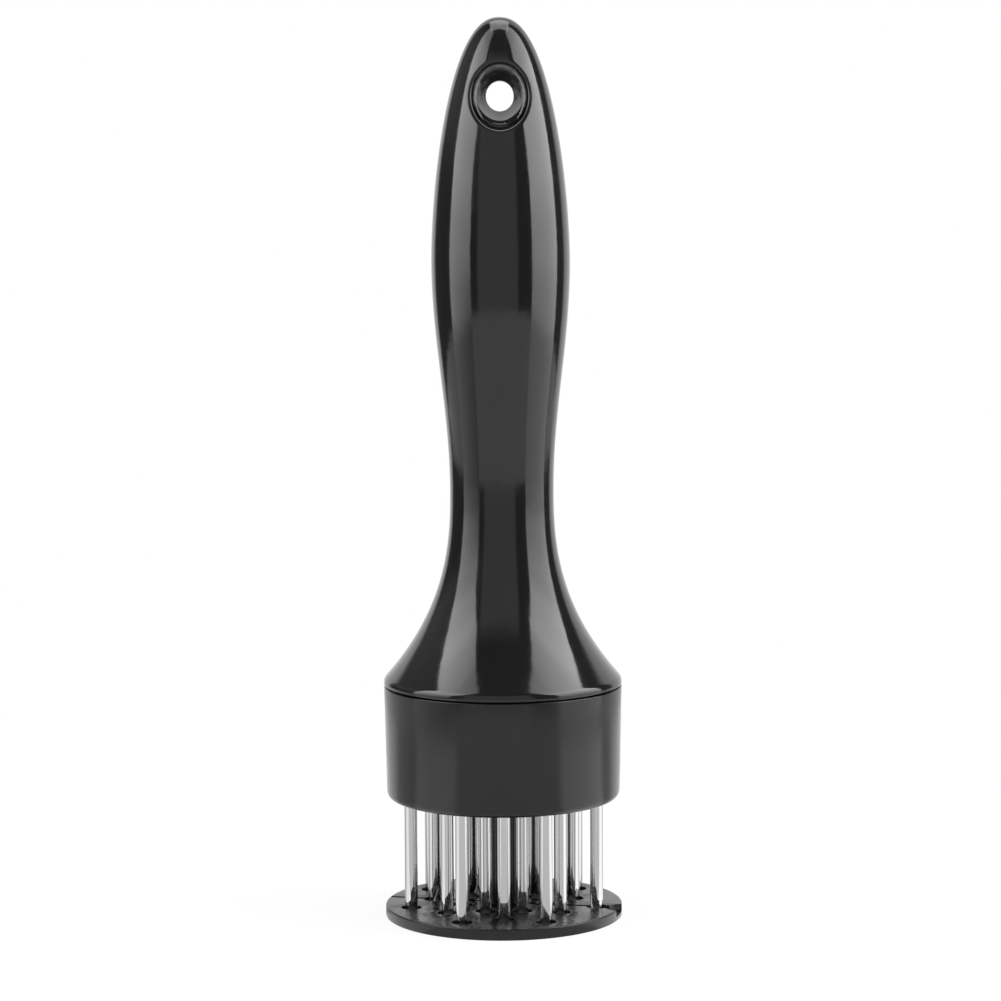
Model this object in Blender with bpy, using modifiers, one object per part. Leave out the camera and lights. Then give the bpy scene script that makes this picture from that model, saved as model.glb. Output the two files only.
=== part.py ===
"""Needle meat tenderizer with a spring-loaded guard plate.

The tool stands upright on the underside of its guard plate, at z = 0, with its long axis on +Z
and its hanging hole running along Y. Pressing the handle down slides the guard plate up the
needles, against a coil spring in the handle.
"""

import math

import bmesh
import bpy
from mathutils import Matrix, Vector

for leftover in list(bpy.data.objects):
    bpy.data.objects.remove(leftover, do_unlink=True)

# Heights of the parts that show, from the table up
guard_thickness = 0.0025
needle_window = 0.0243
collar_height = 0.0254
seam_gap = 0.0004
handle_length = 0.1477

guard_top = guard_thickness
collar_bottom = guard_top + needle_window
collar_top = collar_bottom + collar_height
handle_base = collar_top + seam_gap
handle_top = handle_base + handle_length

# Fits that many pieces share
seat_gap = 0.0003
running_gap = 0.0003
cut_overrun = 0.002
weld_distance = 0.000001
shoulder_radius = 0.0266

parts = bpy.data.collections.new("meat_tenderizer")
cutters = bpy.data.collections.new("meat_tenderizer_cutters")
bpy.context.scene.collection.children.link(parts)
bpy.context.scene.collection.children.link(cutters)


def finish(name, colour, roughness, metallic=0.0):
    """A material of one plain finish."""
    material = bpy.data.materials.new(name)
    material.use_nodes = True
    shader = material.node_tree.nodes["Principled BSDF"]
    shader.inputs["Base Color"].default_value = (*colour, 1.0)
    shader.inputs["Roughness"].default_value = roughness
    shader.inputs["Metallic"].default_value = metallic
    return material


gloss_black = finish("polished_black_abs", (0.012, 0.012, 0.013), 0.12)
satin_black = finish("satin_black_abs", (0.035, 0.035, 0.036), 0.38)
stainless = finish("polished_stainless_steel", (0.78, 0.78, 0.77), 0.16, metallic=1.0)
spring_steel = finish("spring_steel_wire", (0.55, 0.55, 0.54), 0.3, metallic=1.0)


def add_part(name, mesh, material):
    """A named piece of the tool."""
    part = bpy.data.objects.new(name, mesh)
    if not mesh.materials:
        mesh.materials.append(material)
    parts.objects.link(part)
    return part


def add_cutter(name, mesh):
    """A body that only shapes others."""
    cutter = bpy.data.objects.new(name, mesh)
    cutter.hide_render = True
    cutter.display_type = "WIRE"
    cutters.objects.link(cutter)
    return cutter


def combine(part, tool, operation="DIFFERENCE"):
    """Cuts the tool from the part, or joins it on."""
    boolean = part.modifiers.new(tool.name, "BOOLEAN")
    boolean.operation = operation
    boolean.solver = "EXACT"
    boolean.object = tool


def profile_mesh(name, outline, closed):
    """An outline of (radius, height) points as a chain of edges in the XZ plane."""
    points = [(radius, 0.0, height) for radius, height in outline]
    edges = [(i, i + 1) for i in range(len(points) - 1)]
    if closed:
        edges.append((len(points) - 1, 0))
    mesh = bpy.data.meshes.new(name)
    mesh.from_pydata(points, edges, [])
    return mesh


def turn(turned, steps):
    """Sweeps an outline once round its own Z axis."""
    screw = turned.modifiers.new("turned", "SCREW")
    screw.axis = "Z"
    screw.angle = math.tau
    screw.steps = steps
    screw.render_steps = steps
    screw.use_merge_vertices = True
    screw.merge_threshold = weld_distance
    screw.use_smooth_shade = True
    return turned


def turned_part(name, outline, material, steps, closed=True):
    return turn(add_part(name, profile_mesh(name, outline, closed), material), steps)


def turned_cutter(name, outline, steps, closed=False):
    return turn(add_cutter(name, profile_mesh(name, outline, closed)), steps)


def rounded(before, corner, after, reach, steps=3):
    """The points of a rounded corner that starts and ends a reach away from the sharp one."""
    corner = Vector(corner)
    start = corner + (Vector(before) - corner).normalized() * reach
    end = corner + (Vector(after) - corner).normalized() * reach
    shares = [i / steps for i in range(steps + 1)]
    return [tuple(start * (1 - t) ** 2 + corner * 2 * t * (1 - t) + end * t**2) for t in shares]


def helix(radius, pitch, turns, low, points_per_turn):
    """Points along a helix round Z that climbs from a low height."""
    count = round(turns * points_per_turn)
    climb = turns * pitch
    return [
        (
            radius * math.cos(math.tau * i / points_per_turn),
            radius * math.sin(math.tau * i / points_per_turn),
            low + climb * i / count,
        )
        for i in range(count + 1)
    ]


def tube_mesh(name, points, radius, resolution):
    """A round tube along the points, as one closed mesh."""
    curve = bpy.data.curves.new(name + "_path", "CURVE")
    curve.dimensions = "3D"
    curve.bevel_depth = radius
    curve.bevel_resolution = resolution
    curve.use_fill_caps = True
    spline = curve.splines.new("POLY")
    spline.points.add(len(points) - 1)
    for control, point in zip(spline.points, points):
        control.co = (*point, 1.0)
    path = bpy.data.objects.new(name + "_path", curve)
    bpy.context.scene.collection.objects.link(path)
    bpy.context.view_layer.update()
    mesh = bpy.data.meshes.new_from_object(path.evaluated_get(bpy.context.evaluated_depsgraph_get()))
    mesh.name = name
    bpy.data.objects.remove(path, do_unlink=True)
    shell = bmesh.new()
    shell.from_mesh(mesh)
    bmesh.ops.remove_doubles(shell, verts=shell.verts, dist=weld_distance)
    bmesh.ops.recalc_face_normals(shell, faces=shell.faces)
    shell.to_mesh(mesh)
    shell.free()
    return mesh


# Collar and what it holds, from its ledge up
collar_draft = 0.0005
collar_wall = 0.0023
collar_edge_round = 0.0020
ledge_width = 0.0011
ledge_height = 0.0030
carrier_thickness = 0.0040
backing_thickness = 0.0025

collar_bore_radius = shoulder_radius - collar_wall
ledge_top = collar_bottom + ledge_height
carrier_bottom = ledge_top + seat_gap
carrier_top = carrier_bottom + carrier_thickness
backing_bottom = carrier_top + seat_gap
backing_top = backing_bottom + backing_thickness
insert_radius = collar_bore_radius - seat_gap

# Needle pattern: three rings of seven inside the collar's lip
needles_per_ring = 7
needle_radius = 0.00145
lip_margin = 0.00045
middle_ring_share = 0.756
inner_ring_share = 0.446

lip_radius = collar_bore_radius - ledge_width
outer_ring_radius = lip_radius - lip_margin - needle_radius
needle_step = math.tau / needles_per_ring
needle_rings = {
    "outer": (outer_ring_radius, math.pi / 2),
    "middle": (outer_ring_radius * middle_ring_share, -math.pi / 2),
    "inner": (outer_ring_radius * inner_ring_share, math.pi / 2),
}


def needle_places():
    """The ring, number and place of each needle."""
    places = []
    for ring, (radius, start) in needle_rings.items():
        for i in range(needles_per_ring):
            angle = start + i * needle_step
            places.append((ring, i, Vector((radius * math.cos(angle), radius * math.sin(angle), 0.0))))
    return places


def stepped_pins(name, steps, segments):
    """Round pins at every needle's place, each a stack of (radius, low, high) steps."""
    pins = bmesh.new()
    for _, _, spot in needle_places():
        outline = []
        for radius, low, high in steps:
            outline += [(radius, low), (radius, high)]
        outline = [(0.0, outline[0][1])] + outline + [(0.0, outline[-1][1])]
        chain = [pins.verts.new((radius, 0.0, height)) for radius, height in outline]
        edges = [pins.edges.new(pair) for pair in zip(chain, chain[1:])]
        bmesh.ops.spin(
            pins,
            geom=chain + edges,
            axis=(0.0, 0.0, 1.0),
            cent=(0.0, 0.0, 0.0),
            angle=math.tau,
            steps=segments,
            use_merge=True,
        )
        pin = [vert for vert in pins.verts if not vert.tag]
        bmesh.ops.translate(pins, verts=pin, vec=spot)
        for vert in pin:
            vert.tag = True
    bmesh.ops.remove_doubles(pins, verts=pins.verts, dist=weld_distance)
    bmesh.ops.recalc_face_normals(pins, faces=pins.faces)
    mesh = bpy.data.meshes.new(name)
    pins.to_mesh(mesh)
    pins.free()
    return add_cutter(name, mesh)


# Handle outline: an open flare, a slim waist, a full palm and a blunt tip
waist_height = 0.0434
waist_radius = 0.01155
palm_height = 0.0944
palm_radius = 0.01536
shoulder_round = 0.0008
flare_spread_share = 1.073
flare_power_share = 2.5
tip_width_power_share = 2.3
tip_height_power_share = 1.69


def flare_radius(height):
    """The flare's radius at a height above the handle's base, up to the waist."""
    left = max(0.0, 1 - height / waist_height)
    spread = (shoulder_radius - waist_radius) * flare_spread_share
    return waist_radius + spread * left**flare_power_share


def flare_start():
    """The height above the base at which the flare meets the shoulder's upright lip."""
    return waist_height * (1 - (1 / flare_spread_share) ** (1 / flare_power_share))


def grip_radius(height):
    """The grip's radius at a height above the handle's base, from the waist to the tip."""
    if height < palm_height:
        rise = (height - waist_height) / (palm_height - waist_height)
        return waist_radius + (palm_radius - waist_radius) * (1 - math.cos(math.pi * rise)) / 2
    rise = min(1.0, (height - palm_height) / (handle_length - palm_height))
    return palm_radius * (1 - rise**tip_height_power_share) ** (1 / tip_width_power_share)


def handle_outline(flare_points=8, grip_points=6, tip_points=10):
    """The handle's outer side from the tip down to the palm, the waist and the flare."""
    outline = [(0.0, handle_top)]
    for i in range(1, tip_points + 1):
        sweep = math.pi / 2 * i / tip_points
        rise = math.cos(sweep) ** (2 / tip_height_power_share)
        height = palm_height + (handle_length - palm_height) * rise
        outline.append((grip_radius(height), handle_base + height))
    for i in range(1, grip_points + 1):
        height = palm_height + (waist_height - palm_height) * i / grip_points
        outline.append((grip_radius(height), handle_base + height))
    for i in range(1, flare_points + 1):
        height = waist_height + (flare_start() - waist_height) * i / flare_points
        outline.append((flare_radius(height), handle_base + height))
    return outline


# Hanging hole: an oval mouth rounded into the handle's skin, lined by a funnel-shaped eyelet
hole_below_tip = 0.0173
hole_half_width = 0.0061
hole_half_height = 0.0071
mouth_round = 0.0013
mouth_side_spread = 0.0015
mouth_end_spread = 0.0010
hole_points = 28
eyelet_recess = 0.0002
eyelet_rim = 0.0009
bowl_depth = 0.0030
throat_half_width = 0.00305
throat_half_height = 0.0033

hole_height = handle_top - hole_below_tip


def hole_loop(half_width, half_height, depth, side):
    """An oval loop round the hanging hole, a depth under the handle's skin, front (-1) or back (1)."""
    loop = []
    for i in range(hole_points):
        turned_by = math.tau * i / hole_points
        x = half_width * math.cos(turned_by)
        z = hole_height + half_height * math.sin(turned_by)
        skin = grip_radius(z - handle_base)
        loop.append((x, side * (math.sqrt(skin**2 - x**2) - depth), z))
    return loop


def flat_loop(half_width, half_height, y):
    """The same oval loop on an upright plane across the hole."""
    return [(x, y, z) for x, _, z in hole_loop(half_width, half_height, 0.0, 1)]


def loft(name, loops, closed):
    """A skin over a row of loops, closed by end caps or by meeting its own start."""
    shell = bmesh.new()
    rows = [[shell.verts.new(point) for point in loop] for loop in loops]
    pairs = list(zip(rows, rows[1:]))
    if closed:
        pairs.append((rows[-1], rows[0]))
    else:
        shell.faces.new(rows[0])
        shell.faces.new(rows[-1])
    for row, following in pairs:
        for i in range(len(row)):
            after = (i + 1) % len(row)
            shell.faces.new((row[i], row[after], following[after], following[i]))
    bmesh.ops.recalc_face_normals(shell, faces=shell.faces)
    mesh = bpy.data.meshes.new(name)
    shell.to_mesh(mesh)
    shell.free()
    return mesh


def hole_mouth():
    """The cutter of the hanging hole, with a rounded lip that follows the handle's skin."""
    lip_width = hole_half_width + mouth_side_spread
    lip_height = hole_half_height + mouth_end_spread
    half = [hole_loop(lip_width, lip_height, -cut_overrun, 1)]
    for i in range(4):
        lean = math.pi / 2 * i / 3
        width = hole_half_width + mouth_side_spread * (1 - math.sin(lean))
        height = hole_half_height + mouth_end_spread * (1 - math.sin(lean))
        half.append(hole_loop(width, height, mouth_round * (1 - math.cos(lean)), 1))
    front = [[(x, -y, z) for x, y, z in loop] for loop in reversed(half)]
    return add_cutter("hole_mouth", loft("hole_mouth", half + front, False))


# Spring, guard stem and the bore that takes them
spring_radius = 0.0053
spring_wire_radius = 0.00045
spring_curls = 14
bore_clearance = 0.0008
stem_radius = 0.0045
stem_head_radius = 0.0060
stem_head_thickness = 0.0030
stem_pilot_radius = 0.0040
stem_pilot_height = 0.0040
bore_depth = 0.0444
relief_radius = 0.0040
relief_depth = 0.0880

bore_radius = max(spring_radius + spring_wire_radius, stem_head_radius) + bore_clearance
bore_top = handle_base + bore_depth
relief_top = handle_base + relief_depth

# Thread that joins the handle's spigot to the collar
spigot_clearance = 0.0004
spigot_wall = 0.0024
thread_bead_radius = 0.0007
thread_pitch = 0.0030
thread_turns = 2
thread_below_base = 0.0085

spigot_radius = collar_bore_radius - spigot_clearance
spigot_bottom = backing_top + seat_gap
spigot_bore_radius = spigot_radius - spigot_wall
flare_wall = 0.0030
thread_line_radius = spigot_radius - thread_bead_radius / 4
thread_low = handle_base - thread_below_base


def thread_tool(name, clearance):
    """The thread's rounded bead, or the groove that clears it."""
    path = helix(thread_line_radius, thread_pitch, thread_turns, thread_low, 20)
    return add_cutter(name, tube_mesh(name, path, thread_bead_radius + clearance, 1))


def cavity_outline(points=7):
    """The handle's hollow from the spigot's mouth up to the end of its relief bore."""
    outline = [(spigot_bore_radius, spigot_bottom)]
    for i in range(points + 1):
        height = waist_height * i / points
        inside = max(bore_radius, flare_radius(height) - flare_wall)
        outline.append((min(spigot_bore_radius, inside), handle_base + height))
    outline.append((bore_radius, bore_top))
    outline.append((relief_radius, bore_top))
    outline.append((relief_radius, relief_top))
    outline.append((0.0, relief_top + relief_radius / 2))
    return outline


def handle_shell():
    """Moulded handle: one shell from the hanging tip to the threaded spigot."""
    skin = handle_outline()
    lip_top = (shoulder_radius, handle_base + flare_start())
    lip_foot = (shoulder_radius, handle_base)
    shoulder = rounded(skin[-2], lip_top, lip_foot, shoulder_round)
    spigot = [(spigot_radius, handle_base), (spigot_radius, spigot_bottom)]
    outline = skin[:-1] + shoulder + [lip_foot] + spigot + cavity_outline()
    handle = turned_part("handle_shell", outline, gloss_black, 40, closed=False)
    combine(handle, hole_mouth())
    combine(handle, thread_tool("thread_bead", 0.0), "UNION")


def hanging_eyelet():
    """Liner of the hanging hole: a bowl at each end, joined by a straight throat."""
    outer_width = hole_half_width - seat_gap
    outer_height = hole_half_height - seat_gap
    bowl_width = outer_width - eyelet_rim
    bowl_height = outer_height - eyelet_rim
    depth = mouth_round + eyelet_recess
    loops = [
        hole_loop(outer_width, outer_height, depth, 1),
        hole_loop(bowl_width, bowl_height, depth, 1),
    ]
    bowl_floor = grip_radius(hole_height - handle_base) - depth - bowl_depth
    for i in range(1, 6):
        sweep = math.pi / 2 * i / 5
        width = throat_half_width + (bowl_width - throat_half_width) * math.cos(sweep)
        height = throat_half_height + (bowl_height - throat_half_height) * math.cos(sweep)
        loops.append(flat_loop(width, height, bowl_floor + bowl_depth * (1 - math.sin(sweep))))
    back = [[(x, -y, z) for x, y, z in loop] for loop in reversed(loops)]
    add_part("hanging_eyelet", loft("hanging_eyelet", loops + back, True), gloss_black)


def collar():
    """Moulded sleeve that screws on to the handle and holds the needle plates on its ledge."""
    foot_radius = shoulder_radius - collar_draft
    top_edge = (shoulder_radius, collar_top)
    foot = (foot_radius, collar_bottom)
    outline = [top_edge]
    outline += rounded(top_edge, foot, (lip_radius, collar_bottom), collar_edge_round, 4)
    outline += [
        (lip_radius, collar_bottom),
        (lip_radius, ledge_top),
        (collar_bore_radius, ledge_top),
        (collar_bore_radius, collar_top),
    ]
    sleeve = turned_part("collar", outline, satin_black, 44)
    combine(sleeve, thread_tool("thread_groove", seat_gap))


# Needles: round stainless rods with a rounded end ground to a chisel edge
needle_tip_height = 0.0005
needle_nose = 0.0042
needle_tip_radius = 0.0006
chisel_edge_thickness = 0.0002
chisel_lean = math.radians(13.5)
needle_head_radius = 0.0021
needle_head_thickness = 0.0012

# How far each needle's ground faces are turned from front and back, in degrees
needle_turns = {
    "outer": (15, 50, 40, 80, -25, -40, -50),
    "middle": (0, -25, -40, 10, -20, 40, 20),
    "inner": (5, 30, 35, 0, 0, -30, -25),
}

head_pocket_depth = needle_head_thickness + 2 * seat_gap
head_low = carrier_top - head_pocket_depth + seat_gap
head_top = head_low + needle_head_thickness


def needle_mesh():
    """One needle, its chisel edge along Y, at its real height and on the Z axis."""
    outline = [(0.0, needle_tip_height), (needle_tip_radius, needle_tip_height)]
    for i in range(2, 6):
        sweep = math.pi / 2 * i / 5
        height = needle_tip_height + needle_nose * (1 - math.cos(sweep))
        outline.append((needle_radius * math.sin(sweep), height))
    outline += [
        (needle_radius, head_low),
        (needle_head_radius, head_low),
        (needle_head_radius, head_top),
        (0.0, head_top),
    ]
    rod = bmesh.new()
    chain = [rod.verts.new((radius, 0.0, height)) for radius, height in outline]
    edges = [rod.edges.new(pair) for pair in zip(chain, chain[1:])]
    bmesh.ops.spin(
        rod,
        geom=chain + edges,
        axis=(0.0, 0.0, 1.0),
        cent=(0.0, 0.0, 0.0),
        angle=math.tau,
        steps=12,
        use_merge=True,
    )
    bmesh.ops.remove_doubles(rod, verts=rod.verts, dist=weld_distance)
    for side in (-1, 1):
        flat = bmesh.ops.bisect_plane(
            rod,
            geom=rod.verts[:] + rod.edges[:] + rod.faces[:],
            dist=weld_distance / 10,
            plane_co=(side * chisel_edge_thickness / 2, 0.0, needle_tip_height),
            plane_no=(side * math.cos(chisel_lean), 0.0, -math.sin(chisel_lean)),
            clear_outer=True,
        )
        rim = [item for item in flat["geom_cut"] if isinstance(item, bmesh.types.BMEdge)]
        bmesh.ops.contextual_create(rod, geom=rim)
    bmesh.ops.recalc_face_normals(rod, faces=rod.faces)
    mesh = bpy.data.meshes.new("needle")
    rod.to_mesh(mesh)
    rod.free()
    mesh.shade_smooth()
    mesh.set_sharp_from_angle(angle=math.radians(30))
    return mesh


def needles():
    """All the needles, each at its own turn."""
    mesh = needle_mesh()
    for ring, i, spot in needle_places():
        needle = add_part(f"needle_{ring}_{i + 1}", mesh, stainless)
        needle.location = spot
        needle.rotation_euler = (0.0, 0.0, math.radians(needle_turns[ring][i] - 90))


def centred_ring(name, inner_radius, outer_radius, low, high, material):
    """A flat round plate with a plain hole in its middle."""
    outline = [(outer_radius, high), (outer_radius, low), (inner_radius, low), (inner_radius, high)]
    return turned_part(name, outline, material, 44)


stem_hole_radius = stem_radius + running_gap


def needle_plates():
    """The plate that carries the needles' heads and the one that traps them."""
    carrier = centred_ring(
        "needle_carrier_plate", stem_hole_radius, insert_radius, carrier_bottom, carrier_top, satin_black
    )
    pocket_floor = carrier_top - head_pocket_depth
    combine(carrier, stepped_pins("needle_sockets", [
        (needle_radius + running_gap, carrier_bottom - cut_overrun, pocket_floor),
        (needle_head_radius + running_gap, pocket_floor, carrier_top + cut_overrun),
    ], 12))
    centred_ring(
        "needle_backing_plate", stem_hole_radius, insert_radius, backing_bottom, backing_top, satin_black
    )


# Guard: a plate in two halves, clipped round the foot of a headed stem
guard_hole_radius = 0.00227
guard_edge_round = 0.0004
slit_width = 0.0012
notch_width = 0.0064
notch_reach = 0.0031
notch_depth = 0.0015
neck_width = 0.0030
groove_depth = 0.0011
clip_thickness = 0.0013

slit_angle = needle_rings["outer"][1] + 5 * needle_step
groove_radius = stem_radius - groove_depth
clip_bottom = guard_top - clip_thickness


def guard_stem():
    """Stem of the guard: the plate halves grip its foot, and its head stops on the backing plate."""
    head_bottom = backing_top + seat_gap
    head_crown = head_bottom + stem_head_thickness
    pilot_top = head_crown + stem_pilot_height
    outline = [
        (0.0, pilot_top),
        (stem_pilot_radius, pilot_top),
        (stem_pilot_radius, head_crown),
        (stem_head_radius, head_crown),
        (stem_head_radius, head_bottom),
        (stem_radius, head_bottom),
        (stem_radius, guard_top + seat_gap),
        (groove_radius, guard_top + seat_gap),
        (groove_radius, clip_bottom - seat_gap),
        (stem_radius, clip_bottom - seat_gap),
        (stem_radius, seat_gap),
        (0.0, seat_gap),
    ]
    turned_part("guard_stem", outline, satin_black, 24, closed=False)
    return head_crown


def box_cutter(name, low, high, turn_angle):
    """A box between two corners, turned round the Z axis."""
    low, high = Vector(low), Vector(high)
    size = high - low
    block = bmesh.new()
    shape = Matrix.Translation((low + high) / 2) @ Matrix.Diagonal((*size, 1.0))
    bmesh.ops.create_cube(block, size=1.0, matrix=shape)
    mesh = bpy.data.meshes.new(name)
    block.to_mesh(mesh)
    block.free()
    cutter = add_cutter(name, mesh)
    cutter.rotation_euler = (0.0, 0.0, turn_angle)
    return cutter


def guard_plates():
    """The front and rear halves of the guard plate."""
    low = -cut_overrun
    high = guard_top + cut_overrun
    reach = shoulder_radius + cut_overrun
    clip_radius = groove_radius + seat_gap
    foot_radius = stem_radius + seat_gap
    rim_top = (shoulder_radius, guard_top)
    rim_foot = (shoulder_radius, 0.0)
    outline = rounded((clip_radius, guard_top), rim_top, rim_foot, guard_edge_round)
    outline += rounded(rim_top, rim_foot, (foot_radius, 0.0), guard_edge_round / 2, 1)
    outline += [
        (foot_radius, 0.0),
        (foot_radius, clip_bottom),
        (clip_radius, clip_bottom),
        (clip_radius, guard_top),
    ]
    holes = stepped_pins("guard_holes", [(guard_hole_radius, low, high)], 16)
    neck_low = (outer_ring_radius, -neck_width / 2, low)
    neck_high = (shoulder_radius - notch_reach / 2, neck_width / 2, high)
    neck = box_cutter("notch_neck", neck_low, neck_high, slit_angle)
    half_notch = notch_width / 2
    notch_floor = guard_top - notch_depth
    notch_outline = [(0.0, high), (half_notch, high), (half_notch, notch_floor), (0.0, notch_floor)]
    notch = turned_cutter("nail_notch", notch_outline, 24)
    notch.location = Matrix.Rotation(slit_angle, 3, "Z") @ Vector((shoulder_radius, 0.0, 0.0))
    notch.rotation_euler = (0.0, 0.0, slit_angle)
    notch.scale = (2 * notch_reach / notch_width, 1.0, 1.0)
    half_slit = slit_width / 2
    removed = {
        "guard_plate_front": ((-reach, -half_slit, low), (reach, reach, high)),
        "guard_plate_rear": ((-reach, -reach, low), (reach, half_slit, high)),
    }
    for name, corners in removed.items():
        plate = turned_part(name, outline, satin_black, 56)
        combine(plate, holes)
        combine(plate, notch)
        combine(plate, neck)
        combine(plate, box_cutter(name + "_split", *corners, slit_angle))


def return_spring(foot):
    """Compression spring between the stem's head and the shoulder at the end of the bore."""
    low = foot + seat_gap + spring_wire_radius
    high = bore_top - seat_gap - spring_wire_radius
    pitch = (high - low) / spring_curls
    path = helix(spring_radius, pitch, spring_curls, low, 10)
    print("spring: least gap between curls", round((pitch - 2 * spring_wire_radius) * 1000, 2), "mm")
    add_part("return_spring", tube_mesh("return_spring", path, spring_wire_radius, 1), spring_steel)


handle_shell()
hanging_eyelet()
collar()
needles()
needle_plates()
stem_crown = guard_stem()
guard_plates()
return_spring(stem_crown)
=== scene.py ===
import math

import bmesh
import bpy
from mathutils import Matrix, Vector


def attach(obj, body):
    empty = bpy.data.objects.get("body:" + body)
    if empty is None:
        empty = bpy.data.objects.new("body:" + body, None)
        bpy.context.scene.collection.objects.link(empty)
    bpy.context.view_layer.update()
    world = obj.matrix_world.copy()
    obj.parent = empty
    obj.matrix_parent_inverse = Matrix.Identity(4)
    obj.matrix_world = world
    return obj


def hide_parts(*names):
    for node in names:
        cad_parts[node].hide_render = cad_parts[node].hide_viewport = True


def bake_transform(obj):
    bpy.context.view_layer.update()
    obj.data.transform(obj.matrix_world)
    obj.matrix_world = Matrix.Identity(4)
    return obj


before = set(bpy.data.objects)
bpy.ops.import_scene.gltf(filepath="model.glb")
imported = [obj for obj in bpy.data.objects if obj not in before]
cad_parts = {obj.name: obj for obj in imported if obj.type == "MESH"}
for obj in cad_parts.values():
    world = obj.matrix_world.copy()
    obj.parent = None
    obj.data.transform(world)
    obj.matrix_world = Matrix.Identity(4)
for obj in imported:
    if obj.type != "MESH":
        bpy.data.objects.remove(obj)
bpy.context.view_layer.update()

# Handle shell
# One hollow injection moulding in black ABS, from the hanging tip down to the threaded spigot that
# holds the collar. It came out of a polished steel mould, so it is glossy and reflects like a lens.
handle_base = 0.0526
handle_length = 0.1477
shoulder_radius = 0.0266
waist_height = 0.0434
waist_radius = 0.01155
palm_height = 0.0944
palm_radius = 0.01536
flare_spread = (shoulder_radius - waist_radius) * 1.073
shoulder_round = 0.0008
hole_height = 0.1830
hole_half_width = 0.0061
hole_half_height = 0.0071
mouth_round = 0.0013
mouth_side_spread = 0.0015
mouth_end_spread = 0.0010
spigot_radius = 0.0239
spigot_bore_radius = 0.0215
spigot_bottom = 0.0372
spring_bore_radius = 0.0068
spring_bore_top = 0.0970
relief_radius = 0.0040
relief_top = 0.1406


def handle_radius(height):
    """The handle's radius at a height: a flare, a slim waist, a full palm and a blunt tip."""
    above = height - handle_base
    if above < waist_height:
        return waist_radius + flare_spread * (1 - above / waist_height) ** 2.5
    if above < palm_height:
        swell = (1 - math.cos(math.pi * (above - waist_height) / (palm_height - waist_height))) / 2
        return waist_radius + (palm_radius - waist_radius) * swell
    rise = min(1.0, (above - palm_height) / (handle_length - palm_height))
    return palm_radius * (1 - rise**1.69) ** (1 / 2.3)


def between(low, high, steps):
    """Evenly spaced values after low, up to and with high."""
    return [low + (high - low) * (i + 1) / steps for i in range(steps)]


def rounded(before, corner, after, reach, steps):
    """The points of a rounded corner that starts and ends a reach away from the sharp one."""
    corner = Vector(corner)
    start = corner + (Vector(before) - corner).normalized() * reach
    end = corner + (Vector(after) - corner).normalized() * reach
    shares = [i / steps for i in range(steps + 1)]
    return [tuple(start * (1 - t) ** 2 + corner * 2 * t * (1 - t) + end * t**2) for t in shares]


def stitch(shell, first, second):
    """Faces between two rings of points; a ring of one point is a pole."""
    count = max(len(first), len(second))
    for i in range(count):
        j = (i + 1) % count
        corners = [first[i % len(first)], first[j % len(first)]]
        corners += [second[j % len(second)], second[i % len(second)]]
        shell.faces.new(list(dict.fromkeys(corners)))


def ring(shell, radius, height, around):
    """A ring of points round Z that starts at the front."""
    if radius == 0.0:
        return [shell.verts.new((0.0, 0.0, height))]
    turns = [math.tau * i / around for i in range(around)]
    return [shell.verts.new((radius * math.sin(a), -radius * math.cos(a), height)) for a in turns]


def piece(name, shell, material, sharp_from=35):
    """A smooth-shaded object from a finished shell."""
    bmesh.ops.recalc_face_normals(shell, faces=shell.faces)
    mesh = bpy.data.meshes.new(name)
    shell.to_mesh(mesh)
    shell.free()
    mesh.shade_smooth()
    mesh.set_sharp_from_angle(angle=math.radians(sharp_from))
    mesh.materials.append(material)
    made = bpy.data.objects.new(name, mesh)
    bpy.context.scene.collection.objects.link(made)
    return made


def hex_colour(code):
    """An sRGB hex code as linear red, green and blue with full alpha."""
    parts = [int(code[i : i + 2], 16) / 255 for i in (0, 2, 4)]
    return (*[c / 12.92 if c <= 0.04045 else ((c + 0.055) / 1.055) ** 2.4 for c in parts], 1.0)


def add_node(tree, kind, inputs=None, **settings):
    """Adds a node with its settings; an input takes a plain value or the output that feeds it."""
    made = tree.nodes.new("ShaderNode" + kind)
    for name, value in settings.items():
        setattr(made, name, value)
    for name, value in (inputs or {}).items():
        if isinstance(value, bpy.types.NodeSocket):
            tree.links.new(value, made.inputs[name])
        else:
            made.inputs[name].default_value = value
    return made


handle_columns = 144
window_columns = 20
window_rows = 28
window_reach = 0.0098

skin_heights = [handle_base + palm_height + (handle_length - palm_height) * math.cos(s) ** (2 / 1.69)
                for s in between(0.0, 0.49, 14)]
window_top = hole_height + window_reach
window_bottom = hole_height - window_reach
skin_heights = [h for h in skin_heights if h > window_top + 0.0002] + [window_top]
window_first_row = len(skin_heights)
skin_heights += between(window_top, window_bottom, window_rows)
window_last_row = len(skin_heights)
skin_heights += between(window_bottom, handle_base + palm_height, 20)
skin_heights += between(handle_base + palm_height, handle_base + waist_height, 50)
flare_start = waist_height * (1 - (1 / 1.073) ** (1 / 2.5))
skin_heights += between(handle_base + waist_height, handle_base + flare_start + 0.0009, 56)

shell = bmesh.new()
rings = [ring(shell, 0.0, handle_base + handle_length, handle_columns)]
rings += [ring(shell, handle_radius(h), h, handle_columns) for h in skin_heights]
for row, (first, second) in enumerate(zip(rings, rings[1:])):
    if not window_first_row <= row < window_last_row:
        stitch(shell, first, second)
        continue
    for i in range(handle_columns):
        from_front = min(i, handle_columns - 1 - i)
        from_back = min(abs(i - handle_columns // 2), abs(i + 1 - handle_columns // 2))
        if from_front >= window_columns and from_back >= window_columns:
            j = (i + 1) % handle_columns
            shell.faces.new((first[i], first[j], second[j], second[i]))


def mouth_point(half_width, half_height, turned_by, depth, side):
    """A point of an oval loop round the hole, a depth under the handle's skin."""
    x = half_width * math.cos(turned_by)
    z = hole_height + half_height * math.sin(turned_by)
    return (x, side * (math.sqrt(handle_radius(z) ** 2 - x**2) - depth), z)


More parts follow.
